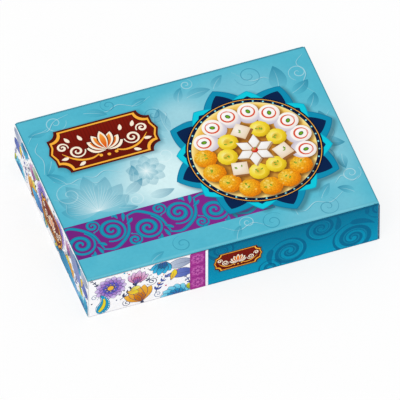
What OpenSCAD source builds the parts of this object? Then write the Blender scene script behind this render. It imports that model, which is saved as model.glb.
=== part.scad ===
// Sweet box: a folding carton with a hinged lid, a front tuck flap and rolled double side walls.
// One creased blank of printed board makes the whole box, and each panel between two creases is a part here.
// Millimetres. +X is to the right, +Y to the back, +Z up. The origin is the middle of the underside.

/* [Box] */
// Outside length, from left to right
box_length = 254; // [200:1:320]
// Outside width, from front to back
box_width = 183; // [140:1:240]
// Outside height with the lid shut
box_height = 45; // [36:1:70]

/* [Board] */
// Thickness of the printed board
board = 0.8; // [0.5:0.05:1.2]
// Air between two plies that are folded against each other
ply_gap = 0.15; // [0.1:0.05:0.3]
// Air left along a crease that opens and shuts
fold_gap = 0.15; // [0.1:0.05:0.3]

/* [Corner flaps] */
// Length of a corner flap, from its crease to its free end
corner_flap_length = 48; // [30:1:60]
// How far each long edge of a corner flap slopes in at its free end
corner_flap_slope = 5; // [2:0.5:10]

/* [Inner side walls] */
// How far each end of an inner side wall slopes in at its foot
inner_wall_slope = 1.2; // [0.5:0.1:3]
// Width of a lock tab at the foot of an inner side wall
lock_tab_width = 26; // [16:1:36]
// Distance between the middles of the two lock tabs of one side wall
lock_tab_spacing = 92; // [60:1:100]
// How far a lock tab stops short of the underside of the base
lock_tab_recess = 0.1; // [0.05:0.05:0.3]
// Air around a lock tab in its slot
slot_gap = 0.2; // [0.1:0.05:0.4]

/* [Lid] */
// How far the lid's side edges stand back from the outer side walls
lid_inset = 0.2; // [0:0.1:1]
// Air between the front wall and the lid's front crease
front_gap = 0.3; // [0.2:0.05:0.6]

/* [Tuck flap] */
// Depth of the tuck flap below the lid's front crease
tuck_depth = 18; // [12:1:24]
// Air between each side edge of the tuck flap and the inner side wall
tuck_side_gap = 1.5; // [0.8:0.1:4]
// How far each side edge of the tuck flap slopes in at its free edge
tuck_slope = 5; // [2:0.5:10]
// Radius of the tuck flap's free corners
tuck_radius = 9; // [4:0.5:12]
// Angle that the tuck flap leans in from upright, so that it clears the front wall as the lid swings
tuck_lean = 4; // [4:0.5:8]
// Width of the relief cut at each end of the lid's front crease
relief_cut = 0.5; // [0.3:0.1:1]

/* [Hidden] */
$fn = 48;

half_length = box_length / 2;
half_width = box_width / 2;
// The plies of a side wall, counted in from outside: outer wall, corner flap, inner wall
outer_wall_x = half_length - board;
corner_flap_x = outer_wall_x - ply_gap - board;
inner_wall_x = corner_flap_x - ply_gap - board;
// Heights of the top surfaces of the base, under the rim and under the lid
base_top = board;
rim_under = box_height - 2 * board;
lid_under = box_height - board;
// Inside face of the front and back walls, and the ends of what stands between them
wall_inside_y = half_width - board;
between_walls = wall_inside_y - ply_gap;
// Crease that joins the back wall and the lid, at mid thickness of both
hinge_y = half_width - board / 2;
hinge_z = box_height - board / 2;
hinge_reach = board / 2 + fold_gap;
// Crease that joins the lid and the tuck flap, at the inside of the bend
tuck_crease_y = -wall_inside_y + front_gap + board;
tuck_half = inner_wall_x - tuck_side_gap;

lid_turquoise = "#55bcd2";
wall_blue = "#0a83ac";
print_white = "#f2f4f5";
board_white = "#e6e3dc";

// Quarter of a round crease: the board bends about (0, 0), on the side that the two signs give
module crease(side_x, side_y) {
    intersection() {
        circle(r = board);
        translate([min(side_x, 0) * board, min(side_y, 0) * board]) square(board);
    }
}

// Carries a profile, drawn in Y and Z, along X
module across(length) {
    translate([-length / 2, 0, 0]) rotate([90, 0, 90]) linear_extrude(length) children();
}

// Carries a profile, drawn in X and Z, along Y
module along(length) {
    translate([0, length / 2, 0]) rotate([90, 0, 0]) linear_extrude(length) children();
}

// Draws what stands on the right on the left instead
module on_left() {
    mirror([1, 0, 0]) children();
}

// Draws what stands at the front at the back instead
module at_back() {
    mirror([0, 1, 0]) children();
}

// Upright creases at both ends of the front wall, up to a given height, each with a root inside the wall
module upright_creases(top) {
    for (side = [-1, 1])
        translate([side * corner_flap_x, -wall_inside_y, base_top])
            linear_extrude(top - base_top) {
                crease(side, -1);
                translate([-max(side, 0) * board, -board]) square(board);
            }
}

module base_panel() {
    color(board_white)
        linear_extrude(board)
            difference() {
                square([2 * outer_wall_x, 2 * wall_inside_y], center = true);
                for (side = [-1, 1], end = [-1, 1])
                    translate([side * (inner_wall_x + board / 2), end * lock_tab_spacing / 2])
                        square([board + 2 * slot_gap, lock_tab_width + 2 * slot_gap], center = true);
            }
}

module front_wall() {
    color(wall_blue) {
        across(2 * corner_flap_x) {
            translate([-half_width, base_top]) square([board, box_height - base_top]);
            translate([-wall_inside_y, base_top]) crease(-1, -1);
        }
        upright_creases(box_height);
    }
}

// The back wall ends in a full round at its top, the bend that the lid turns on
module back_wall() {
    color(wall_blue) {
        across(2 * corner_flap_x) {
            translate([wall_inside_y, base_top]) square([board, hinge_z - base_top]);
            translate([wall_inside_y, base_top]) crease(1, -1);
            translate([hinge_y, hinge_z]) circle(r = board / 2);
        }
        at_back() upright_creases(lid_under);
    }
}

module outer_wall() {
    along(box_width)
        translate([outer_wall_x, base_top]) square([board, rim_under - base_top]);
    along(2 * wall_inside_y)
        translate([outer_wall_x, base_top]) crease(1, -1);
}

// The strip of board that rolls over the top of a side wall
module top_rim() {
    along(2 * between_walls) {
        translate([inner_wall_x + board, rim_under]) {
            square([outer_wall_x - inner_wall_x - board, board]);
            crease(-1, 1);
        }
        translate([outer_wall_x, rim_under]) crease(1, 1);
    }
}

module inner_wall() {
    foot = base_top + ply_gap;
    translate([inner_wall_x, 0, 0])
        rotate([90, 0, 90])
            linear_extrude(board) {
                polygon([
                    [-between_walls + inner_wall_slope, foot],
                    [between_walls - inner_wall_slope, foot],
                    [between_walls, rim_under],
                    [-between_walls, rim_under]
                ]);
                for (end = [-1, 1])
                    translate([end * lock_tab_spacing / 2 - lock_tab_width / 2, lock_tab_recess])
                        square([lock_tab_width, foot - lock_tab_recess]);
            }
}

// The flap at the front right corner, held between the outer and the inner side wall
module corner_flap() {
    low = base_top + ply_gap;
    high = rim_under - ply_gap;
    translate([corner_flap_x, -wall_inside_y, 0])
        rotate([90, 0, 90])
            linear_extrude(board)
                polygon([
                    [0, low],
                    [corner_flap_length, low + corner_flap_slope],
                    [corner_flap_length, high - corner_flap_slope],
                    [0, high]
                ]);
}

module lid_panel() {
    back_edge = hinge_y - hinge_reach;
    front_edge = tuck_crease_y - board;
    half_lid = half_length - lid_inset;
    color(lid_turquoise) {
        translate([0, 0, lid_under])
            linear_extrude(board)
                difference() {
                    translate([-half_lid, front_edge]) square([2 * half_lid, back_edge - front_edge]);
                    translate([-tuck_half - relief_cut, front_edge])
                        square([2 * (tuck_half + relief_cut), board]);
                }
        // The front crease, with a root inside the panel
        across(2 * tuck_half)
            translate([tuck_crease_y, lid_under]) {
                crease(-1, 1);
                square(board);
            }
    }
}

// Outline of the tuck flap, hanging below its crease: sides that slope in, then round corners
module tuck_outline() {
    above = 2 * tuck_radius;
    slope = tuck_slope / tuck_depth;
    difference() {
        offset(r = tuck_radius)
            offset(delta = -tuck_radius)
                polygon([
                    [-tuck_half - slope * above, above],
                    [tuck_half + slope * above, above],
                    [tuck_half - tuck_slope, -tuck_depth],
                    [-tuck_half + tuck_slope, -tuck_depth]
                ]);
        translate([-box_length, -fold_gap]) square([2 * box_length, 2 * above]);
    }
}

module front_tuck_flap() {
    color(lid_turquoise)
        translate([0, tuck_crease_y, lid_under])
            rotate([tuck_lean, 0, 0])
                rotate([90, 0, 0])
                    linear_extrude(board) tuck_outline();
}

base_panel();
front_wall();
back_wall();
color(print_white) on_left() outer_wall();  // left_outer_wall
color(print_white) outer_wall();  // right_outer_wall
color(board_white) on_left() top_rim();  // left_top_rim
color(board_white) top_rim();  // right_top_rim
color(board_white) on_left() inner_wall();  // left_inner_wall
color(board_white) inner_wall();  // right_inner_wall
color(board_white) on_left() corner_flap();  // front_left_corner_flap
color(board_white) corner_flap();  // front_right_corner_flap
color(board_white) on_left() at_back() corner_flap();  // back_left_corner_flap
color(board_white) at_back() corner_flap();  // back_right_corner_flap
lid_panel();
front_tuck_flap();
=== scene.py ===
import math

import bmesh
import bpy
import numpy as np
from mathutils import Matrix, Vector
from mathutils.geometry import delaunay_2d_cdt


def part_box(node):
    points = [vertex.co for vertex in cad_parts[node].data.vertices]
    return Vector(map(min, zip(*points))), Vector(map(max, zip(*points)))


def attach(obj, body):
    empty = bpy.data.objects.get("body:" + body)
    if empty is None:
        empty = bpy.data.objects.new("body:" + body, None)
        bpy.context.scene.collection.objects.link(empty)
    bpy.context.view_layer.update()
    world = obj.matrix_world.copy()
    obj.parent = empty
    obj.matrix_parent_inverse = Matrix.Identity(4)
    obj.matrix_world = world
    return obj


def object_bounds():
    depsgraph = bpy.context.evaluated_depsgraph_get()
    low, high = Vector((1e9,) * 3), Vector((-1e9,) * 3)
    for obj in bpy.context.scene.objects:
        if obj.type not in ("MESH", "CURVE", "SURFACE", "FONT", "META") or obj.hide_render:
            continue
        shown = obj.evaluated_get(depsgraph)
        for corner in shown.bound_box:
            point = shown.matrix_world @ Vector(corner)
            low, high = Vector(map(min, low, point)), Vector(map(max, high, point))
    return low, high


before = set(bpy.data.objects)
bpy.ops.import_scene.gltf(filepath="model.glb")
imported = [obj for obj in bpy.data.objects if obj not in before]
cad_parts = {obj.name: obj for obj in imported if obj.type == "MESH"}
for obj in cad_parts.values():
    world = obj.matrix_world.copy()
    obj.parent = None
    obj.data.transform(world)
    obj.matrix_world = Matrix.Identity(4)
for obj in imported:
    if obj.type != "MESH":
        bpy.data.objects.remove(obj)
cad_low, cad_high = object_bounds()


# Camera
# The shut box is seen from the front left and from well above, through a lens so long that its edges stay
# parallel. Distances are in metres, and the aim is how far to the right and up of the box's middle it looks.
azimuth = math.radians(-19.52)
elevation = math.radians(49.27)
lens_mm, sensor_mm = 1600, 36
distance, farthest = 14.634, 100
aim_right, aim_up = 0.0027, -0.0154

back = Vector((
    math.sin(azimuth) * math.cos(elevation),
    -math.cos(azimuth) * math.cos(elevation),
    math.sin(elevation),
))
right = Vector((math.cos(azimuth), math.sin(azimuth), 0))
up = back.cross(right)


def add_object(name, data):
    """Puts a new object in the scene."""
    made = bpy.data.objects.new(name, data)
    bpy.context.scene.collection.objects.link(made)
    return made


def look_along(made, direction):
    """Turns a camera or a lamp to look in a direction."""
    made.rotation_mode = "QUATERNION"
    made.rotation_quaternion = direction.to_track_quat("-Z", "Y")


camera = add_object("camera", bpy.data.cameras.new("camera"))
bpy.context.scene.camera = camera
camera.data.lens = lens_mm
camera.data.sensor_width = sensor_mm
camera.data.clip_end = farthest
camera.location = (cad_low + cad_high) / 2 + right * aim_right + up * aim_up + back * distance
look_along(camera, -back)


# Board of the tray
# One blank of solid bleached board, 0.8 mm thick, die cut and creased. Its outside is printed and varnished
# and its inside is bare white board. Its cut edges show the fibres, in the print's colour darkened as
# painted shade.
MM = 0.001
print_white, strip_magenta, wall_blue = "#fbfbfd", "#b63f9b", "#0586ae"
crease_turquoise = "#4ab2cc"
inside_white, inside_fleck = "#ecebe6", "#dedcd5"
# Along the front and back walls the print is florals, a strip, a line, then blue. These are the places where
# the first three end, in mm from the middle, and a place beyond either end of the wall
florals_end, strip_end, line_end = -38.3, -24.8, -22.6
past_wall = 130
# Height in mm at which the back wall bends over into the lid
back_bend = 43.6
# How squarely a face looks outwards, from 1 to -1: it is printed above the first number, bare inside below
# the second, and a cut edge between them
print_from, bare_below = 0.2, -0.6


def linear(srgb):
    """sRGB channels, 0 to 1, as the linear light that Blender works in."""
    srgb = np.asarray(srgb, float)
    return np.where(srgb <= 0.04045, srgb / 12.92, ((srgb + 0.055) / 1.055) ** 2.4)


def channels(colour):
    """The three sRGB channels of a hex colour, 0 to 1."""
    return [int(colour[i:i + 2], 16) / 255 for i in (1, 3, 5)]


def paint(colour):
    """A hex colour as linear light, with full alpha."""
    return (*linear(channels(colour)), 1)


def add_node(tree, kind, inputs=None, **settings):
    """Adds a shader node, sets its properties, and fills its inputs with values, hex colours or outputs.

    A Mix node takes its share at input 0 and its two colours at 6 and 7, and gives the mixed colour at 2.
    """
    made = tree.nodes.new("ShaderNode" + kind)
    for name, value in settings.items():
        setattr(made, name, value)
    for name, value in (inputs or {}).items():
        if isinstance(value, bpy.types.NodeSocket):
            tree.links.new(value, made.inputs[name])
        elif isinstance(value, str):
            made.inputs[name].default_value = paint(value)
        else:
            made.inputs[name].default_value = value
    return made


def empty_tree(owner):
    """The emptied node tree of a material or a world."""
    owner.use_nodes = True
    owner.node_tree.nodes.clear()
    return owner.node_tree


def new_material(name):
    """A material with an empty tree, the direction of its surface, and its place on the object in mm."""
    material = bpy.data.materials.new(name)
    tree = empty_tree(material)
    place = add_node(tree, "TexCoord").outputs
    mm = add_node(tree, "Mapping", {"Vector": place["Object"], "Scale": (1 / MM,) * 3}).outputs[0]
    return material, tree, place["Normal"], mm


def board_material(name, outward, printed, edge_shade_tone="#b4bcc2"):
    """Varnished print outward, bare board inside, and edges in the print's colour darkened as painted shade.

    printed is a hex colour or a function that gives a colour from the tree and the place in mm.
    """
    material, tree, normal, mm = new_material(name)
    direction = tuple(Vector(outward).normalized())
    facing = add_node(tree, "VectorMath", {0: normal, 1: direction}, operation="DOT_PRODUCT").outputs["Value"]
    is_print = add_node(tree, "Math", {0: facing, 1: print_from}, operation="GREATER_THAN").outputs[0]
    is_inside = add_node(tree, "Math", {0: facing, 1: bare_below}, operation="LESS_THAN").outputs[0]
    ink = printed if isinstance(printed, str) else printed(tree, mm)
    # Flecks of fibre, about 3 mm long and 0.5 mm wide, mottle the bare board
    stretched = add_node(tree, "Mapping", {"Vector": mm, "Scale": (0.35, 2, 2)}).outputs[0]
    fibres = add_node(tree, "TexNoise", {"Vector": stretched, "Scale": 1, "Detail": 4}).outputs[0]
    bare = add_node(tree, "Mix", {0: fibres, 6: inside_white, 7: inside_fleck}, data_type="RGBA").outputs[2]
    # On cut edges the print's colour is multiplied by a grey: painted shade along the edges
    shaded_edge = {0: 1, 6: ink, 7: edge_shade_tone}
    cut = add_node(tree, "Mix", shaded_edge, data_type="RGBA", blend_type="MULTIPLY").outputs[2]
    unprinted = add_node(tree, "Mix", {0: is_inside, 6: cut, 7: bare}, data_type="RGBA").outputs[2]
    colour = add_node(tree, "Mix", {0: is_print, 6: unprinted, 7: ink}, data_type="RGBA").outputs[2]
    # Varnish is smoother than bare board
    roughness = add_node(tree, "MapRange", {"Value": is_print, "To Min": 0.8, "To Max": 0.48}).outputs[0]
    grain = add_node(tree, "Bump", {"Height": fibres, "Strength": 0.15, "Distance": 0.05 * MM}).outputs[0]
    finish = {"Base Color": colour, "Roughness": roughness, "Specular IOR Level": 0.12, "Normal": grain}
    add_node(tree, "OutputMaterial", {"Surface": add_node(tree, "BsdfPrincipled", finish).outputs[0]})
    return material


def wall_zones(tree, mm):
    """The print of the front and back walls, as it runs over their creases."""
    along_wall = add_node(tree, "SeparateXYZ", {0: mm}).outputs[0]
    reach = {"Value": along_wall, "From Min": -past_wall, "From Max": past_wall}
    ramp = add_node(tree, "ValToRGB", {0: add_node(tree, "MapRange", reach).outputs[0]})
    ramp.color_ramp.interpolation = "CONSTANT"
    stops = ramp.color_ramp.elements
    stops.remove(stops[1])
    stops[0].color = paint(print_white)
    for start, ink in ((florals_end, strip_magenta), (strip_end, print_white), (line_end, wall_blue)):
        stops.new((start + past_wall) / (2 * past_wall)).color = paint(ink)
    return ramp.outputs[0]


def back_zones(tree, mm):
    """The back wall's print. The lid's turquoise runs over the crease above it."""
    height = add_node(tree, "SeparateXYZ", {0: mm}).outputs[2]
    above = add_node(tree, "Math", {0: height, 1: back_bend}, operation="GREATER_THAN").outputs[0]
    inks = {0: above, 6: wall_zones(tree, mm), 7: crease_turquoise}
    return add_node(tree, "Mix", inks, data_type="RGBA").outputs[2]


def dress(material, *nodes):
    """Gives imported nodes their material."""
    for name in nodes:
        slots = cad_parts[name].data.materials
        slots.clear()
        slots.append(material)


# Each outward direction leans a little towards the creases, so that the print runs round them
# The last colour of each darkens that wall's cut edges as painted shade
dress(board_material("front_wall_board", (0, -1, -0.35), wall_zones, "#98a4ac"), "front_wall")
dress(board_material("back_wall_board", (0, 1, 0.3), back_zones), "back_wall")
dress(board_material("left_wall_board", (-1, 0, 0.5), print_white, "#e0e3e4"), "left_outer_wall")
dress(board_material("right_wall_board", (1, 0, 0.5), wall_blue, "#8a96a0"), "right_outer_wall")
dress(board_material("left_rim_board", (-0.5, 0, 1), print_white), "left_top_rim")
dress(board_material("right_rim_board", (0.5, 0, 1), wall_blue), "right_top_rim")
dress(board_material("underside_board", (0, 0, -1), print_white), "base_panel")
dress(
    board_material("bare_board", (0, 0, -1), inside_white),
    "left_inner_wall",
    "right_inner_wall",
    "front_left_corner_flap",
    "front_right_corner_flap",
    "back_left_corner_flap",
    "back_right_corner_flap",
)


# Board of the lid and its tuck flap
# The lid is the last panel of the same blank, with a turquoise ground that pales where light seems to fall.
# The ground runs over the front crease and down the tuck flap, and its cut edges are darkened to a deep teal
# as painted shade.
turquoise_cloud, turquoise_pale, lid_edge_shade_tone = "#5fc2d6", "#d9f5f8", "#7fa3ab"
# The ground is clouded in two sizes, in mm
cloud_mm, mottle_mm = 20, 3
# Middle of each pale pool in mm, how far it reaches along X and Y, and how strong it is
pale_pools = [
    ((-28, -6), (68, 62), 1.0),
    ((-86, -4), (50, 36), 0.28),
    ((2, 48), (38, 40), 0.4),
    ((104, -20), (44, 76), 0.2),
    ((50, 62), (84, 36), 0.16),
    ((84, -84), (60, 24), 0.12),
]


def lid_ground(tree, mm):
    """The lid's ground: turquoise with pale pools in it, faintly clouded."""
    flat = add_node(tree, "VectorMath", {0: mm, 1: (1, 1, 0)}, operation="MULTIPLY").outputs[0]
    clouds = add_node(tree, "TexNoise", {"Vector": flat, "Scale": 1 / cloud_mm, "Detail": 3}).outputs[0]
    inks = {0: clouds, 6: crease_turquoise, 7: turquoise_cloud}
    colour = add_node(tree, "Mix", inks, data_type="RGBA").outputs[2]
    for (x, y), (reach_x, reach_y), strength in pale_pools:
        pool = {"Location": (-x / reach_x, -y / reach_y, 0), "Scale": (1 / reach_x, 1 / reach_y, 0)}
        local = add_node(tree, "Mapping", {"Vector": flat, **pool}).outputs[0]
        away = add_node(tree, "VectorMath", {0: local}, operation="LENGTH").outputs["Value"]
        fall = {"Value": away, "From Min": 1, "From Max": 0.1, "To Max": strength}
        near = add_node(tree, "MapRange", fall, interpolation_type="SMOOTHERSTEP").outputs[0]
        colour = add_node(tree, "Mix", {0: near, 6: colour, 7: turquoise_pale}, data_type="RGBA").outputs[2]
    mottle = add_node(tree, "TexNoise", {"Vector": flat, "Scale": 1 / mottle_mm, "Detail": 2}).outputs[0]
    shade = add_node(tree, "MapRange", {"Value": mottle, "To Min": 0.93, "To Max": 1.05}).outputs[0]
    mottled = {0: 1, 6: colour, 7: shade}
    return add_node(tree, "Mix", mottled, data_type="RGBA", blend_type="MULTIPLY").outputs[2]


# The lid's cut edges are darkened with painted shade
dress(board_material("lid_board", (0, -0.35, 1), lid_ground, lid_edge_shade_tone), "lid_panel")
dress(board_material("tuck_flap_board", (0, -1, 0), lid_ground, lid_edge_shade_tone), "front_tuck_flap")


# How a print is made
# Each wall carries a litho print under clear varnish. The inks are outlines in millimetres, laid from the
# bottom up. They are cut into one flat mosaic, so the print is a single thin closed sheet, with its colours
# at the corners of its triangles.
# Thickness of the sheet, and how near corners are made one, in mm
sheet_mm, merge_mm = 0.06, 0.002
# Width in mm of the grains that pictured sweets are made of, and of the waves that the varnish lies in
sweet_grain_mm, varnish_wave_mm = 1.3, 6


def inside(points, outline):
    """Which points lie inside an outline, by how often it winds round them."""
    winding = np.zeros(len(points), int)
    x, y = points[:, 0], points[:, 1]
    for a, b in zip(outline, np.roll(outline, -1, 0)):
        if a[1] == b[1]:
            continue
        between = (a[1] <= y) != (b[1] <= y)
        crossing = a[0] + (y - a[1]) * (b[0] - a[0]) / (b[1] - a[1])
        winding += np.where(between & (crossing > x), 1 if b[1] > a[1] else -1, 0)
    return winding != 0


def away_from(points, outline):
    """How far each point lies from an outline's line."""
    nearest = np.full(len(points), np.inf)
    for a, b in zip(outline, np.roll(outline, -1, 0)):
        way = b - a
        share = np.clip((points - a) @ way / max(way @ way, 1e-9), 0, 1)
        nearest = np.minimum(nearest, np.linalg.norm(points - a - share[:, None] * way, axis=1))
    return nearest


def walk(outline, step):
    """Places along an outline, one every step."""
    closed = np.vstack([outline, outline[:1]])
    so_far = np.concatenate([[0], np.cumsum(np.linalg.norm(np.diff(closed, axis=0), axis=1))])
    stops = np.arange(0, so_far[-1], step)
    return np.stack([np.interp(stops, so_far, closed[:, k]) for k in (0, 1)], 1)


def bar(left, low, right_end, high):
    """A rectangle."""
    return np.array([(left, low), (right_end, low), (right_end, high), (left, high)])


def plain(colour, alpha=1.0):
    """One colour all over."""
    return lambda points: np.tile([*channels(colour), alpha], (len(points), 1))


def graded(where, stops):
    """Colours that change with a number worked out from each place.

    Each stop is (number, colour), or (number, colour, alpha) where the ink isn't full.
    """
    levels = [level for level, *_ in stops]
    table = np.array([[*channels(colour), *(alpha or [1.0])] for _, colour, *alpha in stops])
    return lambda points: np.stack([np.interp(where(points), levels, table[:, k]) for k in range(4)], 1)


def along(start, end, first, last, alpha=(1.0, 1.0)):
    """Colours that change on the way from one point to another."""
    start, way = np.array(start, float), np.subtract(end, start).astype(float)

    def share(points):
        return (points - start) @ way / (way @ way)

    return graded(share, [(0, first, alpha[0]), (1, last, alpha[1])])


def around(centre, radius, *stops):
    """Colours that change outwards from a centre. The stops' numbers are shares of the radius."""

    def share(points):
        return np.linalg.norm(points - np.array(centre, float), axis=1) / radius

    return graded(share, stops)


class Artwork:
    """The inks of one sheet, whose lowest and highest corners are in mm."""

    def __init__(self, low, high):
        self.low, self.high = np.array(low, float), np.array(high, float)
        self.sheet = bar(*self.low, *self.high)
        # Each ink is its outline, its colours, its grain and the zone that it is kept within
        self.inks = []
        # Places inside the outlines that the mosaic takes as corners too
        self.marks = []

    def ink(self, outline, colour, alpha=1.0, grain=0.0, within=None, fine=0.0):
        """Lays one ink. fine is the spacing of marks inside, for colours that change in all directions."""
        outline = np.asarray(outline, float)
        paint_at = plain(colour, alpha) if isinstance(colour, str) else colour
        self.inks.append((outline, paint_at, grain, within))
        if fine:
            low, high = outline.min(0), outline.max(0)
            # Every other row is shifted by half a step, so that the marks stand in even triangles
            for k, y in enumerate(np.arange(low[1], high[1], fine * 0.87)):
                x = np.arange(low[0] + fine * (k % 2) / 2, high[0], fine)
                row = np.stack([x, np.full(len(x), y)], 1)
                self.marks.append(row[inside(row, outline)])

    def shadow(self, core, rim, colour, alpha):
        """A soft shadow: full inside its core, gone at its rim. Both outlines have as many points."""

        def share(points):
            part = np.zeros(len(points))
            beyond = ~inside(points, core)
            near, far = away_from(points[beyond], core), away_from(points[beyond], rim)
            part[beyond] = near / np.maximum(near + far, 1e-9)
            return part

        self.ink(rim, graded(share, [(0, colour, alpha), (0.5, colour, alpha * 0.4), (1, colour, 0)]))
        width = np.linalg.norm(rim - core, axis=1).mean()
        # Rings of marks carry the change from full to gone
        for part in (0, 0.3, 0.65):
            self.marks.append(walk(core + (rim - core) * part, width * 0.5))

    def mosaic(self):
        """Cuts the sheet along every outline: the corners, and the triangles between them."""
        points, edges = [], []
        for outline in [self.sheet, *(ink[0] for ink in self.inks)]:
            first, count = len(points), len(outline)
            points += [Vector(p) for p in outline]
            edges += [(first + k, first + (k + 1) % count) for k in range(count)]
        for marks in self.marks:
            kept = ((marks > self.low) & (marks < self.high)).all(1)
            points += [Vector(p) for p in marks[kept]]
        corners, _, faces, *_ = delaunay_2d_cdt(points, edges, [], 0, merge_mm, False)
        corners = np.array([tuple(c) for c in corners])
        faces = np.array([f for f in faces if len(f) == 3])
        middles = corners[faces].mean(1)
        edge1 = corners[faces[:, 1]] - corners[faces[:, 0]]
        edge2 = corners[faces[:, 2]] - corners[faces[:, 0]]
        area = edge1[:, 0] * edge2[:, 1] - edge1[:, 1] * edge2[:, 0]
        on_sheet = ((middles > self.low) & (middles < self.high)).all(1) & (area > 0)
        return corners, faces[on_sheet]

    def colours(self, corners, faces):
        """The inks over each other at each triangle's corners, and how grainy each triangle is."""
        middles = corners[faces].mean(1)
        colour = np.zeros((len(faces), 3, 4))
        grains = np.zeros(len(faces))
        for outline, paint_at, grain, within in self.inks:
            low, high = outline.min(0), outline.max(0)
            near = np.flatnonzero(((middles >= low) & (middles <= high)).all(1))
            covered = near[inside(middles[near], outline)]
            if within is not None:
                covered = covered[inside(middles[covered], within)]
            if not len(covered):
                continue
            laid = paint_at(corners[faces[covered]].reshape(-1, 2)).reshape(-1, 3, 4)
            below = colour[covered]
            cover = laid[..., 3:]
            rest = below[..., 3:] * (1 - cover)
            total = cover + rest
            blend = (laid[..., :3] * cover + below[..., :3] * rest) / np.maximum(total, 1e-6)
            colour[covered] = np.concatenate([blend, total], 2)
            strength = cover.mean((1, 2))
            grains[covered] = grains[covered] * (1 - strength) + grain * strength
        return colour, grains

    def press(self, name, origin, across, upwards, material, body):
        """Makes the sheet. origin is its place in metres, across and upwards are its two directions."""
        corners, faces = self.mosaic()
        colour, grains = self.colours(corners, faces)
        thickness = Vector(across).cross(Vector(upwards)) * sheet_mm * MM
        places = corners @ np.array([across, upwards]) * MM + np.array(Vector(origin) + thickness)
        mesh = bpy.data.meshes.new(name)
        mesh.from_pydata(places.tolist(), [], faces.tolist())
        bm = bmesh.new()
        bm.from_mesh(mesh)
        loose = [v for v in bm.verts if not v.link_faces]
        bmesh.ops.delete(bm, geom=loose, context="VERTS")
        # A skirt and a back close the sheet
        rim = [e for e in bm.edges if e.is_boundary]
        skirt = bmesh.ops.extrude_edge_only(bm, edges=rim)["geom"]
        lower = [v for v in skirt if isinstance(v, bmesh.types.BMVert)]
        bmesh.ops.translate(bm, verts=lower, vec=-thickness)
        back_rim = [e for e in skirt if isinstance(e, bmesh.types.BMEdge)]
        bmesh.ops.contextual_create(bm, geom=back_rim)
        bmesh.ops.recalc_face_normals(bm, faces=bm.faces)
        bm.to_mesh(mesh)
        bm.free()
        # The mosaic's triangles come first in the mesh, and the skirt and back stay without ink
        values = np.zeros((len(mesh.loops), 4), np.float32)
        flat = colour.reshape(-1, 4)
        values[:len(flat)] = np.hstack([linear(flat[:, :3]), flat[:, 3:]])
        mesh.attributes.new("ink", "FLOAT_COLOR", "CORNER").data.foreach_set("color", values.ravel())
        shares = np.zeros(len(mesh.polygons), np.float32)
        shares[:len(grains)] = grains
        mesh.attributes.new("grain", "FLOAT", "FACE").data.foreach_set("value", shares)
        mesh.materials.append(material)
        sheet = add_object(name, mesh)
        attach(sheet, body)


def print_material(name, ground):
    """Litho inks on white board under a satin varnish: even colour, a soft sheen, an almost flat surface."""
    material, tree, _, mm = new_material(name)
    ink = add_node(tree, "Attribute", attribute_name="ink").outputs
    inks = {0: ink["Alpha"], 6: ground(tree, mm), 7: ink["Color"]}
    colour = add_node(tree, "Mix", inks, data_type="RGBA").outputs[2]
    # Each grain of a sweet has a dark rim and a light crown
    cells = add_node(tree, "TexVoronoi", {"Vector": mm, "Scale": 1 / sweet_grain_mm}, feature="F1")
    fall = {"Value": cells.outputs["Distance"], "From Max": 0.7, "To Min": 1.25, "To Max": 0.5}
    crowns = add_node(tree, "MapRange", fall).outputs[0]
    crowned = {0: 1, 6: colour, 7: crowns}
    grainy = add_node(tree, "Mix", crowned, data_type="RGBA", blend_type="MULTIPLY").outputs[2]
    grain = add_node(tree, "Attribute", attribute_name="grain").outputs["Fac"]
    colour = add_node(tree, "Mix", {0: grain, 6: colour, 7: grainy}, data_type="RGBA").outputs[2]
    # The varnish follows the board's own waviness
    waves = add_node(tree, "TexNoise", {"Vector": mm, "Scale": 1 / varnish_wave_mm, "Detail": 2}).outputs[0]
    bump = add_node(tree, "Bump", {"Height": waves, "Strength": 0.2, "Distance": 0.05 * MM}).outputs[0]
    finish = {"Base Color": colour, "Roughness": 0.45, "Specular IOR Level": 0.03, "Normal": bump}
    add_node(tree, "OutputMaterial", {"Surface": add_node(tree, "BsdfPrincipled", finish).outputs[0]})
    return material


# Strokes of the brush
# The prints are drawn with a brush and a pen: discs, leaves and petals that grow from their stem end, and
# spirals and lines that thin towards their ends. Places and sizes are in mm on the sheet, angles in degrees.
def heading(degrees):
    """A step of length 1 in a direction, anticlockwise from the right. Takes one angle or a row of them."""
    angle = np.radians(degrees)
    return np.stack([np.cos(angle), np.sin(angle)], -1)


def spin(degrees):
    """A matrix that turns rows of points anticlockwise."""
    return heading([degrees, degrees + 90])


def disc(x, y, radius, count=24, tall=1.0, turned=0.0):
    """An ellipse, or a circle if tall is 1."""
    rim = heading(np.linspace(0, 360, count, endpoint=False)) * (radius, radius * tall)
    return rim @ spin(turned) + (x, y)


def lobed(x, y, radius, lobes, depth, count=6):
    """A disc with a scalloped rim."""
    angle = np.linspace(0, 360, lobes * count, endpoint=False)
    rim = radius * (1 - depth + depth * np.abs(np.sin(np.radians(angle * lobes / 2))))
    return rim[:, None] * heading(angle) + (x, y)


def smooth_line(points, steps=8):
    """A smooth line through a few given points."""
    p = np.array(points, float)
    p = np.vstack([2 * p[0] - p[1], p, 2 * p[-1] - p[-2]])
    t = np.linspace(0, 1, steps, endpoint=False)[:, None]
    spans = [
        0.5 * (2 * b + (c - a) * t + (2 * a - 5 * b + 4 * c - d) * t ** 2 + (3 * b - a - 3 * c + d) * t ** 3)
        for a, b, c, d in zip(p, p[1:], p[2:], p[3:])
    ]
    return np.vstack([*spans, p[-2]])


def spine(x, y, length, angle, bend=0.0, count=12):
    """A line that sets off at an angle and turns by bend degrees on its way."""
    steps = heading(angle + bend * np.linspace(0, 1, count)) * length / (count - 1)
    return np.vstack([[0, 0], np.cumsum(steps[:-1], 0)]) + (x, y)


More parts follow.
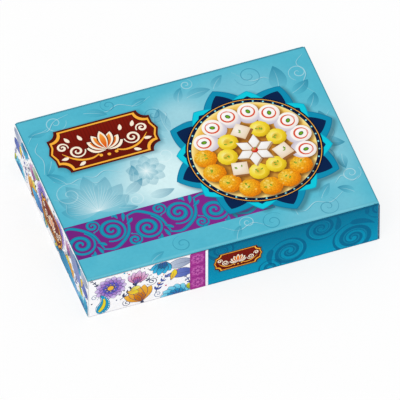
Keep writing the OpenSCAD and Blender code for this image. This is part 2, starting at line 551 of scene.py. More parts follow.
def spiral(x, y, radius, turns, angle=0.0, hand=1, inner=0.08, count=24):
    """A line that winds in from its outer end."""
    share = np.linspace(0, 1, int(count * turns) + 1)
    reach = radius * (1 - (1 - inner) * share)
    return reach[:, None] * heading(angle + hand * 360 * turns * share) + (x, y)


def stroke(line, widths):
    """Outline of a line drawn with a brush whose width changes on the way."""
    way = np.gradient(line, axis=0)
    way /= np.maximum(np.linalg.norm(way, axis=1, keepdims=True), 1e-9)
    side = np.stack([-way[:, 1], way[:, 0]], 1) * np.broadcast_to(widths, len(line))[:, None] / 2
    return np.vstack([line + side, (line - side)[::-1]])


def pen_line(art, line, width, colour, alpha=1.0, head=0.3, tail=0.3, within=None):
    """Draws a line whose ends thin to a share of its width."""
    widths = width * np.interp(np.linspace(0, 1, len(line)), [0, 0.35, 0.65, 1], [head, 1, 1, tail])
    art.ink(stroke(line, widths), colour, alpha, within=within)


def belly(count, width, fullest=0.42):
    """Widths of a leaf or petal, with its belly at a share of its length."""
    share = np.linspace(0, 1, count) ** (math.log(0.5) / math.log(fullest))
    return width * np.sin(np.pi * share) ** 0.85


def leaf(x, y, length, width, angle, bend=0.0, fullest=0.42, count=12):
    """A leaf or petal that grows from its stem end."""
    return stroke(spine(x, y, length, angle, bend, count), belly(count, width, fullest))


# Print of the lid: ground and faint flowers
# The lid's sheet covers its flat top, up to the round of its front crease. Ghosts of leaves, a lotus, a bloom
# and curls, a shade darker or lighter than the ground, lie under everything else.
lid_low, lid_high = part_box("lid_panel")
# How far a sheet stops short of a panel's edge, and the radius of a crease, in mm
edge_mm, crease_mm = 0.1, 0.8
half_lid = lid_high.x / MM - edge_mm
lid_front, lid_back = lid_low.y / MM + crease_mm, lid_high.y / MM - edge_mm
lid = Artwork((-half_lid, lid_front), (half_lid, lid_back))
ghost, ghost_deep, ghost_light = "#3a9cb8", "#2584a3", "#eefafb"


def ghost_rib(x, y, length, angle, bend, alpha, tail=0.2):
    """A fine light rib."""
    pen_line(lid, spine(x, y, length, angle, bend), 0.5, ghost_light, alpha, 1, tail)


def ghost_petal(x, y, length, width, angle, bend, fullest, alpha, root=ghost_light):
    """A leaf or petal that is darkest at its tip."""
    tip = (x, y) + length * heading(angle)
    lid.ink(leaf(x, y, length, width, angle, bend, fullest), along((x, y), tip, root, ghost_deep, alpha))


def ghost_lotus(x, y, size):
    """A lotus seen from the side: petals fan out from its seat, the middle ones in front."""
    for angle, reach in ((8, 0.86), (172, 0.86), (33, 0.98), (147, 0.98), (60, 1.05), (120, 1.05), (90, 1.1)):
        length, bend = size * reach, (90 - angle) * 0.22
        ghost_petal(x, y, length, size * 0.42, angle, bend, 0.55, (0.2, 0.42))
        for turn in (-9, -3, 3, 9):
            ghost_rib(x, y, length * 0.78, angle + turn, bend, 0.34, 0.1)


def ghost_bloom(x, y, size):
    """A round flower seen from the front, with two rings of petals."""
    for count, length, first in ((9, size, 0), (7, size * 0.62, 20)):
        for k in range(count):
            angle = first + 360 / count * k
            ghost_petal(x, y, length, length * 0.62, angle, 0, 0.62, (0.25, 0.36))
            ghost_rib(x, y, length * 0.8, angle, 0, 0.4)


# Tendrils that look embossed: each is a light line with its shade beside it
for tendril in (
    [(-124, 66), (-116, 74), (-104, 74), (-96, 82), (-82, 86)],
    [(-122, 30), (-118, 44), (-121, 56), (-116, 64)],
    [(-124, 2), (-116, -6), (-118, -16), (-110, -26)],
    [(-118, 20), (-106, 14), (-96, 16), (-86, 8), (-76, 10)],
    [(-92, 18), (-84, 14), (-74, 18), (-62, 12)],
    [(-66, 84), (-52, 78), (-40, 82), (-26, 76), (-12, 82)],
    [(-14, 70), (-6, 60), (-10, 50), (-2, 40)],
    [(60, 84), (72, 70), (84, 70), (92, 60)],
    [(122, 84), (114, 76), (118, 64), (112, 52), (118, 40)],
    [(122, 18), (114, 8), (118, -4), (112, -14), (119, -24)],
    [(100, -58), (108, -52), (114, -60), (122, -56)],
    [(54, -72), (66, -78), (78, -72), (90, -76), (104, -68)],
    [(-4, -72), (8, -80), (22, -76), (34, -84)],
):
    line = smooth_line(tendril)
    pen_line(lid, line + (0.45, -0.55), 0.8, ghost_deep, 0.34, 0.2, 0.2)
    pen_line(lid, line, 0.7, ghost_light, 0.34, 0.2, 0.2)
ghost_lotus(-93, -22, 36)
ghost_bloom(-42, 6, 17)
# Groups of leaves: how wide each is for its length, its bend and its strength, then x, y, angle and length
for wide, bend, alpha, leaves in (
    (0.44, 25, 0.72, [
        (-66, -12, 22, 22),
        (-56, -2, 64, 19),
        (-48, -20, 350, 22),
        (-76, -24, 335, 16),
        (-108, 14, 118, 20),
        (-100, 22, 80, 15),
    ]),
    (0.48, -30, 0.62, [
        (-10, 40, 104, 27),
        (-5, 30, 60, 22),
        (-15, 34, 152, 18),
        (-6, 22, 20, 15),
        (16, 70, 20, 22),
        (8, 68, 78, 16),
        (40, 72, 60, 17),
    ]),
    (0.54, 28, 0.85, [
        (90, 52, 68, 28),
        (100, 46, 18, 20),
        (108, 26, 46, 18),
        (112, 6, 70, 15),
        (104, -8, 318, 22),
        (116, -30, 250, 16),
        (96, -48, 40, 18),
        (112, -72, 130, 15),
    ]),
    (0.46, -25, 0.55, [
        (4, -88, 70, 15),
        (60, -80, 100, 15),
        (84, -70, 60, 18),
        (-70, -88, 40, 15),
        (-104, 76, 200, 18),
        (-112, 42, 250, 17),
        (-70, 82, 350, 20),
        (-30, 76, 30, 15),
    ]),
):
    for x, y, angle, length in leaves:
        ghost_petal(x, y, length, length * wide, angle, bend, 0.42, (0.08, alpha), ghost)
        ghost_rib(x, y, length * 0.85, angle, bend, 0.32)
# Curls: x, y, radius, turns, angle, hand, and whether it is lighter or darker than the ground
light_curl, dark_curl = (ghost_light, 0.30), (ghost_deep, 0.55)
for x, y, radius, turns, angle, hand, tone in (
    (-110, 2, 13, 1.6, 40, 1, light_curl),
    (-60, -20, 9, 1.8, 200, -1, light_curl),
    (-22, 18, 11, 1.5, 90, 1, light_curl),
    (-16, 62, 9, 1.7, 300, -1, dark_curl),
    (72, 76, 12, 1.8, 180, 1, dark_curl),
    (112, 66, 9, 1.6, 240, -1, light_curl),
    (102, -26, 12, 1.8, 120, 1, dark_curl),
    (116, -52, 9, 1.7, 30, -1, light_curl),
    (86, -80, 10, 1.6, 60, -1, dark_curl),
    (38, -80, 10, 1.7, 30, 1, dark_curl),
    (18, -74, 7, 1.6, 200, -1, light_curl),
    (-40, -78, 9, 1.6, 90, 1, dark_curl),
    (-96, 80, 10, 1.5, 0, -1, light_curl),
    (-48, 84, 7, 1.6, 120, 1, dark_curl),
    (20, 84, 6, 1.6, 60, -1, light_curl),
):
    pen_line(lid, spiral(x, y, radius, turns, angle, hand), 0.9, *tone)


# Print of the lid: purple band
# A running scroll, a traditional border: a stem that waves along the band, with a spiral in each bend and
# leaf strokes between them, in teal on purple. Its right end lies under the round picture.
band_low, band_high, band_end = -66.6, -30.1, 45.0
band_teal, band_teal_dark = "#1b95b5", "#11789a"
band_middle = (band_low + band_high) / 2
scroll_start, scroll_step = 8.0 - half_lid, 29.0
band = bar(-half_lid, band_low, band_end, band_high)
lid.ink(band, along((-half_lid, 0), (band_end, 0), "#74237e", "#8a2a90"))


def band_stroke(line, width):
    """A teal stroke with a darker edge."""
    pen_line(lid, line, width, band_teal_dark, 1.0, 0.4, 0.4, band)
    pen_line(lid, line, width * 0.62, band_teal, 1.0, 0.4, 0.4, band)


for k in range(-1, 6):
    x = scroll_start + scroll_step * k
    side = 1 if k % 2 else -1
    band_stroke(spiral(x, band_middle + side * 3.5, 12.5, 2.3, -90 * side - 30, side, 0.06), 3.6)
    stem = [(-13, -14), (-2, -15.5), (12, -4), (17, 14)]
    band_stroke(smooth_line(np.multiply(stem, (1, side)) + (x, band_middle)), 3.2)
    band_stroke(spiral(x + 15, band_middle - side * 12.5, 6.4, 1.8, 90 * side, -side), 2.5)
    for angle, length, dx, dy in (
        (62, 10, 11.5, 9.0),
        (24, 9, 13.0, 5.5),
        (100, 8, 8.5, 13.0),
        (140, 7, -9.5, 15.0),
    ):
        line = spine(x + dx, band_middle + side * dy, length, side * angle, side * 25)
        lid.ink(stroke(line, belly(len(line), 3.4, 0.6)), band_teal_dark, within=band)
        lid.ink(stroke(line, belly(len(line), 2.2, 0.6)), band_teal, within=band)
    for dx, dy, radius in ((-13.5, 9.5, 1.1), (-14.5, 5.5, 0.8), (5, 17.2, 0.9)):
        lid.ink(disc(x + dx, band_middle + side * dy, radius, 10), band_teal, within=band)


# Print of the lid: plaque
# A maroon plaque with a gold inline and a lotus, of the plain kind that any sweet seller might use. It is
# printed with the rest. Smaller ones without its buds are on the front and the left wall.
maroon_rim, maroon_inline, gold, cream = "#55120a", "#5f1208", "#ffb63d", "#fff3dc"
maroon_top, maroon_foot, maroon_stripe, plaque_shade = "#801709", "#641007", "#641008", "#1c5f74"
lotus_root, lotus_tip = "#d9480f", "#ffc04a"
# Height in mm of the drawing that the plaque's parts are measured on
drawn_high = 49
# Radius of the plaque's hollow corners, as a share of half its height
notch = 0.36


def plaque_outline(half_wide, half_high, shrink=0.0):
    """A label with hollow corners and a blunt point at each end, made a little smaller by shrink."""
    right_at, top = half_wide - shrink, half_high - shrink
    hollow_middle = np.array([right_at * 0.94, top])
    # From the top clockwise: the hollow bends inwards round the label's square corner
    hollow = hollow_middle - (half_high * notch + shrink * 0.4) * heading(np.linspace(0, 90, 7))
    tip = [(right_at * 0.94, top * 0.32), (right_at, 0.0)]
    quarter = np.vstack([[(0, top)], hollow, tip])
    right_half = np.vstack([quarter, (quarter * (1, -1))[-2::-1]])
    return np.vstack([right_half, (right_half * (-1, 1))[-2:0:-1]])


def draw_plaque(art, x, y, wide, high, buds=()):
    """Lays the plaque's inks round a middle point. Each bud is its x, its y and its angle."""
    half_wide, half_high = wide / 2, high / 2
    size = high / drawn_high
    place = np.array([x, y])
    below = place + (0.9 * size, -1.1 * size)
    core = plaque_outline(half_wide, half_high) + below
    art.shadow(core, plaque_outline(half_wide, half_high, -3.0 * size) + below, plaque_shade, 0.42)
    for shrink, colour in ((0, maroon_rim), (1.9, gold), (3.5, maroon_inline)):
        art.ink(plaque_outline(half_wide, half_high, shrink * size) + place, colour)
    field = plaque_outline(half_wide, half_high, 4.3 * size) + place
    art.ink(field, along(place + (0, half_high), place - (0, half_high), maroon_top, maroon_foot))
    # Fine upright stripes, 3 mm apart on the drawing
    for k in range(-14, 15):
        left = x + (3 * k - 0.45) * size
        stripe = bar(left, y - half_high, left + 0.9 * size, y + half_high)
        art.ink(stripe, maroon_stripe, 0.55, within=field)
    seat = place + (0, -9.5 * size)
    for angle, reach in ((12, 0.86), (168, 0.86), (36, 0.94), (144, 0.94), (62, 1.0), (118, 1.0), (90, 1.06)):
        length = 22 * size * reach
        bend = (90 - angle) * 0.25
        art.ink(leaf(*seat, length, 9.6 * size, angle, bend, 0.55), maroon_rim)
        art.ink(leaf(*(seat + (0, 0.3 * size)), length * 0.93, 7.6 * size, angle, bend, 0.55), cream)
        inner = leaf(*(seat + (0, 1.2 * size)), length * 0.78, 5.0 * size, angle, bend, 0.55)
        art.ink(inner, along(seat, seat + (0, length), lotus_root, lotus_tip))
    for side in (-1, 1):
        mirror = np.array([side * size, size])
        for scroll in (spiral(25, -3, 7.4, 1.7, 180, 1, 0.1), spiral(36, 4.5, 5.2, 1.5, 200, -1, 0.1)):
            pen_line(art, scroll * mirror + place, 2.0 * size, cream, 1.0, 0.5, 0.5)
        stem = smooth_line([(8, -12), (15, -14.5), (24, -13.5), (32, -9), (38.5, -2)], 6)
        pen_line(art, stem * mirror + place, 2.0 * size, gold, 1.0, 0.6, 0.2)
        for bud_x, bud_y, angle in buds:
            art.ink(leaf(bud_x, bud_y, 7, 3.4, angle, 20) * mirror + place, cream)
    for dx in (-7, 0, 7):
        art.ink(disc(x + dx * size, y - (15.0 - abs(dx) / 7) * size, 1.6 * size, 12), gold)


draw_plaque(lid, -64.3, 48.1, 95, 47, [(17, 7.5, 62), (28, 8.5, 55), (34, -7.6, -14), (22, -16, -35)])


# Print of the lid: round picture
# A lotus rosette in cyan, teal and navy frames a picture of sweets on a brass plate, seen from above:
# a star of almond diamonds, a ring of pedas and barfi, and an outer ring of laddoos and rolls.
picture_middle = np.array([49.8, -2.1])
plate_radius, navy_radius, short_petal, long_petal = 52.0, 57.0, 64.0, 72.0
# The petals grow from under the plate, at this distance from its middle
petal_root = 26.0
cyan, cyan_rim, teal, teal_rim = "#0ccbdf", "#0aa6c4", "#0b8fb4", "#0779a0"
navy, navy_tip, bead_blue, rosette_shade = "#03163a", "#052550", "#8fe3ee", "#2f5a68"
# The light in the picture falls from the upper left
light_from = np.array([-0.35, 0.45])
# How far the rosette's shadow falls to the right and down, and how wide its soft rim is, in mm
shadow_fall, shadow_rim = (2.2, -2.8), 4.5


def on_picture(reach, angle):
    """A place on the picture, by how far it is from the middle and at what angle."""
    return picture_middle + reach * heading(angle)


# Each petal is its angle, length and width, its colour and its rim's
petals = [
    (first + 45 * k, reach - petal_root, width, fill, rim)
    for first, reach, width, fill, rim in (
        (9, long_petal, 37, teal, teal_rim),
        (31.5, short_petal, 34, cyan, cyan_rim),
    )
    for k in range(8)
]
# The shadow's outline is found by feeling outwards from the navy disc, to where the last petal ends
shadow_ways = heading(np.arange(0, 360, 2.5))
feelers = np.arange(navy_radius, long_petal, 0.25)
spots = picture_middle + feelers[:, None] * shadow_ways[:, None]
covered = np.zeros(spots.shape[:2], bool)
for angle, length, width, _, _ in petals:
    shape = leaf(*on_picture(petal_root, angle), length, width, angle, 0, 0.5, 24)
    covered |= inside(spots.reshape(-1, 2), shape).reshape(covered.shape)
shadow_reach = np.maximum((covered * feelers).max(1), navy_radius)[:, None]
shadow_middle = picture_middle + shadow_fall
lid.shadow(
    shadow_middle + shadow_reach * shadow_ways,
    shadow_middle + (shadow_reach + shadow_rim) * shadow_ways,
    rosette_shade,
    0.62,
)
for angle, length, width, fill, rim in petals:
    root = on_picture(petal_root, angle)
    lid.ink(leaf(*root, length + 0.8, width + 1.2, angle, 0, 0.5, 24), rim)
    lid.ink(leaf(*root, length, width, angle, 0, 0.5, 24), fill)
    heart = along(root, on_picture(petal_root + length, angle), navy, navy_tip)
    lid.ink(leaf(*root, length - 5.0, width * 0.70, angle, 0, 0.52, 24), heart)
for radius, colour in ((navy_radius, navy), (navy_radius - 1.4, gold), (navy_radius - 2.0, navy)):
    lid.ink(disc(*picture_middle, radius, 96), colour)
# A ring of beads between the gold line and the plate
for k in range(40):
    lid.ink(disc(*on_picture(navy_radius - 3.7, 9 * k), 0.85, 8), bead_blue)
brass = ((0, "#b06e22"), (0.75, "#d49a3a"), (0.93, "#f0c257"), (1, "#ffeaa0"))
lid.ink(disc(*picture_middle, plate_radius, 96), around(picture_middle, plate_radius, *brass), fine=4)
# Scatters pearls and slivers, alike in each run
chance = np.random.default_rng(7)


def cast_shade(middle, radius):
    """The soft dark under a sweet."""
    spot = middle + np.array([0.16, -0.2]) * radius
    soft = around(spot, radius * 1.22, (0.6, "#4a1d05", 0.62), (0.85, "#4a1d05", 0.3), (1, "#4a1d05", 0.0))
    lid.ink(disc(*spot, radius * 1.22), soft, fine=radius * 0.3)


def slivers(middle, spread, count, length):
    """Slivers of pistachio."""
    for _ in range(count):
        spot = middle + chance.uniform(-spread, spread, 2)
        angle = chance.uniform(0, 180)
        lid.ink(leaf(*spot, length, length * 0.42, angle, 10, 0.5, 7), "#3f6d12")
        lid.ink(leaf(*spot, length * 0.8, length * 0.22, angle, 10, 0.5, 7), "#a6cf3e")


def laddoo(middle, radius, _):
    """A ball of fried gram pearls."""
    glow = middle + light_from * radius * 0.8
    stops = ((0, "#ffe05a"), (0.5, "#ffbe26"), (1.0, "#ff9d12"), (1.4, "#e67c0a"), (1.7, "#b05406"))
    lid.ink(lobed(*middle, radius, 9, 0.05), around(glow, radius, *stops), grain=0.55, fine=radius * 0.22)
    for _ in range(9):
        spot = middle + light_from * radius * 0.35 + chance.uniform(-0.6, 0.6, 2) * radius
        lid.ink(disc(*spot, radius * chance.uniform(0.07, 0.12), 8), "#ffe08a", 0.5)
    slivers(middle + light_from * radius * 0.3, radius * 0.25, 2, radius * 0.34)


def roll(middle, radius, angle):
    """A slice of a milk roll, with a red ring and a green heart. It leans inwards, so its side shows."""
    outwards = heading(angle)
    side = middle - outwards * radius * 0.32
    flank = around(middle, radius * 1.4, (0.5, "#f3eef2"), (1, "#bfb5c4"))
    lid.ink(disc(*side, radius), flank, grain=0.06, fine=radius * 0.4)
    face = middle + outwards * radius * 0.1
    glow = face + light_from * radius * 0.6
    milk = around(glow, radius, (0, "#ffffff"), (1, "#fbf4ee"), (1.6, "#dccfd0"))
    lid.ink(disc(*face, radius * 0.96), milk, fine=radius * 0.4)
    ring = spiral(*face, radius * 0.66, 1.12, angle + 330, 1, 0.86, 20)
    pen_line(lid, ring, radius * 0.19, "#f08a64", 0.8, 0.2, 0.2)
    pen_line(lid, ring, radius * 0.11, "#d63a2a", 1.0, 0.2, 0.2)
    lid.ink(disc(*face, radius * 0.27, 12, 0.75, angle + 210), "#2f5c0c")
    lid.ink(disc(*face, radius * 0.19, 12, 0.7, angle + 210), "#6fa823")


def peda(middle, radius, _):
    """A round of reduced milk and saffron, pressed in the middle."""
    glow = middle + light_from * radius * 0.7
    saffron = around(glow, radius, (0, "#fff5a8"), (0.6, "#fbe445"), (1.1, "#edc922"), (1.6, "#b48a12"))
    lid.ink(lobed(*middle, radius, 14, 0.04, 4), saffron, grain=0.12, fine=radius * 0.28)
    dent = middle - light_from * radius * 0.1
    hollow = around(dent + light_from * radius * 0.3, radius * 0.6, (0, "#c9960f", 0.7), (1, "#ffe765", 0.7))
    lid.ink(disc(*dent, radius * 0.5, 16), hollow, fine=radius * 0.25)
    slivers(dent, radius * 0.22, 3, radius * 0.36)


def cut_sweet(middle, size, shape, light, dark, flank, nuts):
    """A cut piece with a flat top, seen a little from the side. shape is its outline, for a size of 1."""
    lid.ink(shape * size * 1.02 + middle + np.array([0.10, -0.16]) * size, flank)
    top = around(middle + light_from * size * 0.5, size, (0, light), (1, dark))
    lid.ink(shape * size + middle, top, grain=0.08, fine=size * 0.2)
    lid.ink(shape * size * 0.8 + middle + light_from * 0.3, "#ffffff", 0.16)
    slivers(middle, size * 0.18, nuts, size * 0.22)


def barfi(middle, size, angle):
    """A square of barfi, cut from a slab."""
    square = bar(-0.5, -0.5, 0.5, 0.5) @ spin(angle + 40)
    cut_sweet(middle, size, square, "#fff6e8", "#e6c9a4", "#9a6436", 3)


def almond_diamond(middle, size, angle):
    """A diamond of almond paste, one ray of the star."""
    diamond = np.array([(-0.9, 0), (0, -0.5), (0.9, 0), (0, 0.5)]) @ spin(angle)
    cut_sweet(middle, size, diamond, "#ffffff", "#ece6de", "#b89a78", 0)


# Each kind's size, and the radius of its shade, in mm
sweet_sizes = {
    laddoo: (9.8, 9.8),
    roll: (9.2, 9.2),
    peda: (8.7, 8.7),
    barfi: (13.2, 8.7),
    almond_diamond: (9.0, 5.0),
}
# Each sweet is its kind, how far out it lies and at what angle. Laddoos fill the front of the outer ring
placed = [(laddoo if 160 < angle < 330 else roll, 41.4, angle) for angle in range(6, 366, 24)]
placed += [(barfi if k % 3 == 2 else peda, 23.4, 40 * k + 20) for k in range(9)]
placed += [(almond_diamond, 8.9, 60 * k + 15) for k in range(6)]
for sweet, reach, angle in placed:
    cast_shade(on_picture(reach, angle), sweet_sizes[sweet][1])
for sweet, reach, angle in placed:
    sweet(on_picture(reach, angle), sweet_sizes[sweet][0], angle)
cherry = around(picture_middle + (-0.8, 1), 3, (0, "#ff9a6a"), (1, "#c2281c"))
lid.ink(disc(*picture_middle, 3.0, 16), cherry, fine=1)
slivers(picture_middle, 1.2, 3, 2.4)


# Print of the lid: edges
# A painted highlight pales the ink along the front crease. A fine dark line of painted shade runs along the
# other three sides, at the cut edge. Then the whole print is pressed on the lid.
crease_highlight_mm, edge_shade_mm = 3, 1.1
crease_highlight_turquoise, edge_shade_teal = "#9edfe9", "#1d6b80"
# Painted highlight along the front crease
crease_highlight = bar(-half_lid, lid_front, half_lid, lid_front + crease_highlight_mm)
fading = along((0, lid_front), (0, lid_front + crease_highlight_mm), crease_highlight_turquoise, crease_highlight_turquoise, (0.3, 0.0))
lid.ink(crease_highlight, fading)
# Painted shade along the left, back and right edges
front_left, front_right, back_right, back_left = lid.sheet
for start, end, inward in (
    (front_left, back_left, (edge_shade_mm, 0)),
    (back_left, back_right, (0, -edge_shade_mm)),
    (back_right, front_right, (-edge_shade_mm, 0)),
):
    fading = along(start, start + inward, edge_shade_teal, edge_shade_teal, (0.75, 0.0))
    lid.ink([start, end, end + inward, start + inward], fading)
lid_litho = print_material("lid_litho_print", lid_ground)
lid.press("lid_print", (0, 0, lid_high.z), (1, 0, 0), (0, 1, 0), lid_litho, "lid")


# Prints of the walls: florals
# Bright folk flowers on white, outlined in slate: a dahlia, tulips, a paisley, sprigs and curls, of a kind
# that is common on such boxes. One group is drawn once and laid on the front, left and back walls.
slate, grey_blue, lilac, lilac_pale, violet = "#3c4566", "#8d99b5", "#b183c9", "#dfc8ea", "#6c63c9"
orange, amber, lemon, sky, sea, sea_deep = "#d6851a", "#f2b93f", "#e8d62e", "#46bfe8", "#1c9dc4", "#0c6f98"
leaf_blue, rose, leaf_green = "#4659a5", "#cc5f86", "#6f9c33"
# Width in mm of the slate outline
line_mm = 0.45
# The group is drawn on a piece this long and high, in mm
group_long, wall_high = 90.0, 45.0
group = Artwork((0, 0), (group_long, wall_high))


def outlined(art, line, widths, fill):
    """A brush stroke with a slate outline."""
    art.ink(stroke(line, widths + 2 * line_mm), slate)
    art.ink(stroke(line, widths), fill)


def petal(art, x, y, length, width, angle, root, tip, bend=0.0, fullest=0.58):
    """A petal that changes colour from its root to its tip, with a rib."""
    line = spine(x, y, length, angle, bend)
    outlined(art, line, belly(len(line), width, fullest), along(line[0], line[-1], root, tip))
    pen_line(art, spine(x, y, length * 0.7, angle, bend), 0.4, slate, 0.6, 1, 0.3)


def sprig(x, y, length, angle, bend, pairs, fill=slate):
    """A stem with pairs of small leaves that shrink towards its tip."""
    line = spine(x, y, length, angle, bend, pairs * 4 + 1)
    pen_line(group, line, 0.8, slate, 1.0, 1, 0.5)
    for k in range(1, pairs + 1):
        share = k / pairs
        ahead = angle + bend * share
        size = length * (0.30 - 0.12 * share)
        for side in (-1, 1):
            group.ink(leaf(*line[k * 4 - 1], size, size * 0.42, ahead + side * 52, -side * 30), fill)
    group.ink(leaf(*line[-1], length * 0.2, length * 0.09, angle + bend), fill)


def dahlia(x, y, radius):
    """A round flower of three rings of petals about a button."""
    for count, reach, width, root, tip, first in (
        (14, 1.0, 0.44, violet, lilac_pale, 0),
        (14, 0.76, 0.32, violet, lilac, 12.9),
        (9, 0.52, 0.32, "#4b3f9e", violet, 0),
    ):
        for k in range(count):
            angle = first + 360 / count * k
            petal(group, x, y, radius * reach, radius * width, angle, root, tip, 0, 0.66)
    group.ink(disc(x, y, radius * 0.24, 20), slate)
    group.ink(disc(x, y, radius * 0.19, 20), amber)
    for k in range(8):
        group.ink(disc(*((x, y) + radius * 0.31 * heading(45 * k)), 0.5, 8), lemon)


def tulip(x, y, size, angle, root, tip, cup, spread=34):
    """A folk tulip seen from the side: a fan of petals in a cup, with dots over it."""
    for step in (-2, 2, -1, 1, 0):
        length = size * (1 - 0.07 * abs(step))
        petal(group, x, y, length, size * 0.36, angle + step * spread / 2, root, tip, step * 7)
    for step in (-1, 0, 1):
        petal(group, x, y, size * 0.55, size * 0.22, angle + step * 17, cup, root)
    for step in (-3, -2, -1, 0, 1, 2, 3):
        spot = (x, y) + size * 1.12 * heading(angle + step * spread * 0.36)
        group.ink(disc(*spot, size * 0.035, 8), slate)
    seat = spine(x, y, -size * 0.16, angle)
    group.ink(stroke(seat, np.full(len(seat), size * 0.13)), slate)


def paisley(x, y, size, angle, bend, outer, middle, heart):
    """A traditional paisley: a drop with a curled tip, in three nested colours, with a row of beads."""
    share = np.linspace(0, 1, 26)
    round_end = np.sqrt(np.clip(1 - (1 - share / 0.34) ** 2, 0, 1))
    tail = np.clip((1 - share) / 0.66, 0, 1) ** 0.8
    widths = np.where(share < 0.34, round_end, tail) * size
    line = spine(x, y, size * 1.25, angle, bend, 26)
    outlined(group, line, widths * 0.62, outer)
    group.ink(stroke(line, widths * 0.50), slate)
    group.ink(stroke(line, widths * 0.44), middle)
    group.ink(stroke(line[2:20], widths[2:20] * 0.22), slate)
    group.ink(stroke(line[2:20], widths[2:20] * 0.16), heart)
    for k in range(3, 22, 2):
        way = line[k + 1] - line[k - 1]
        side = np.array([-way[1], way[0]]) / np.linalg.norm(way) * widths[k] * 0.28
        for spot in (line[k] + side, line[k] - side):
            group.ink(disc(*spot, size * 0.022, 8), "#ffffff")


# The group, from its back layer to its front
sprig(27, 12, 20, 35, 30, 4)
sprig(58, 9, 20, 78, -35, 4, leaf_blue)
sprig(8, 34, 12, 100, 40, 3)
sprig(55, 26, 13, 150, -50, 3)
sprig(88, 8, 13, 95, 30, 3, leaf_blue)
for x, y, radius, turns, angle, hand, colour in (
    (55, 25, 5.0, 1.7, 200, 1, slate),
    (33, 6, 4.0, 1.6, 120, 1, slate),
    (5, 23, 4.0, 1.5, 300, 1, grey_blue),
    (60, 7, 4.4, 1.6, 20, -1, grey_blue),
):
    pen_line(group, spiral(x, y, radius, turns, angle, hand), 0.75, colour, 1.0, 0.6, 1)
petal(group, 91, 38, 24, 11, 176, grey_blue, "#c4cfdf", 10, 0.5)
petal(group, 92, 24, 24, 11, 166, leaf_blue, "#7f8fd6", 18, 0.5)
petal(group, 71, 20, 13, 5.4, 62, amber, lemon, 25)
dahlia(19, 30, 14)
paisley(7, 3, 19, 35, 95, sky, sea, lemon)
tulip(41, 27, 16, 78, rose, lilac_pale, violet)
tulip(46, 3, 22, 104, orange, amber, "#a8570c")
tulip(66, 46, 17, 250, sea_deep, sky, leaf_blue)
# Half a flower at the foot, with two rings of petals
for k in range(7):
    petal(group, 76, -1, 14.5, 7.2, 12 + 26 * k, sea, "#8fdcf2", 0, 0.66)
for k in range(5):
    petal(group, 76, -1, 9, 5.0, 28 + 31 * k, leaf_blue, sea, 0, 0.66)
petal(group, 33, 20, 11, 5.4, 330, amber, lemon, 30)
petal(group, 36, 21, 9, 4.4, 15, lemon, "#f6ee8a", -20)
petal(group, 89, 2, 9, 4.4, 120, leaf_green, lemon, -30)
# Dots between the flowers
for x, y, radius, colour in (
    (35, 41, 0.9, rose),
    (53, 40, 0.8, slate),
    (2.5, 16, 0.8, slate),
    (31, 44, 0.9, sea),
    (61, 20, 0.9, orange),
    (67, 15, 0.9, rose),
    (84, 15, 0.8, slate),
    (54, 33, 0.6, slate),
    (24, 13, 0.7, slate),
    (77, 31, 0.8, rose),
    (65, 29, 0.7, orange),
):
    group.ink(disc(x, y, radius, 10), colour)


def lay_group(art, shift, side, within):
    """Lays the whole group of inks, moved along the wall and mirrored if side is -1, inside one zone."""
    shift, flip = np.array((shift, 0.0)), np.array((side, 1.0))

    def moved(paint_at):
        return lambda points: paint_at((points - shift) * flip)

    for outline, paint_at, grain, _ in group.inks:
        art.inks.append((outline * flip + shift, moved(paint_at), grain, within))


# Print of the front wall
# Florals on the left, a magenta strip of rosettes, a white line, then blue with broad spirals a shade darker,
# and the small plaque on it. The blue deepens towards the wall's top edge.
blue_low, blue_high, blue_swirl, blue_light = "#039bc0", "#017093", "#005a82", "#1fb4d2"
# Colours of the painted shade in the top and foot creases of the blue
blue_top_crease_shade, blue_foot_crease_shade = "#034f70", "#035f80"
magenta, magenta_right, magenta_light, magenta_deep = "#aa3a93", "#9e348b", "#c565b0", "#842079"
# A fine grey line of painted shade runs along the foot of the white print, this many mm wide
foot_shade_mm, foot_shade_grey = 0.5, "#9c95a8"
front_low, front_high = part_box("front_wall")
half_wall = front_high.x / MM - crease_mm - edge_mm
wall_foot = crease_mm + edge_mm
# Each spiral on the blue is x, y, radius, turns, angle and hand
long_wall_spirals = [
    (48, 16, 17, 2.1, 150, -1),
    (76, 34, 15, 2.0, 330, -1),
    (104, 12, 19, 2.3, 100, 1),
    (-10, 40, 11, 1.8, 250, 1),
    (30, 2, 10, 1.7, 60, 1),
    (128, 40, 12, 1.8, 200, 1),
]


def draw_blue(art, zone, spirals):
    """Blue ground with spirals drawn with a broad brush in a darker and a lighter blue."""
    (left, low), (right_end, high) = zone.min(0), zone.max(0)
    art.ink(zone, along((left, low), (left, high), blue_low, blue_high))
    for x, y, radius, turns, angle, hand in spirals:
        line = spiral(x, y, radius, turns, angle, hand, 0.05, 32)
        pen_line(art, line, radius * 0.30, blue_swirl, 0.68, 0.1, 0.7, zone)
        inner = spiral(x, y, radius * 0.86, turns, angle + 8 * hand, hand, 0.05, 32)
        pen_line(art, inner, radius * 0.07, blue_light, 0.30, 0.1, 0.7, zone)
        tail = spine(*line[0], radius * 1.3, angle - 95 * hand, -55 * hand)
        art.ink(stroke(tail, belly(len(tail), radius * 0.34, 0.3)), blue_swirl, 0.6, within=zone)
    # Painted shade darkens the blue into the creases at the top and the foot
    for edge, inward, dark, ground, alpha in (
        (high, -3.0, blue_top_crease_shade, blue_high, 0.85),
        (low, 1.2, blue_foot_crease_shade, blue_low, 0.8),
    ):
        fading = along((left, edge), (left, edge + inward), dark, ground, (alpha, 0.0))
        art.ink(bar(left, edge, right_end, edge + inward), fading)


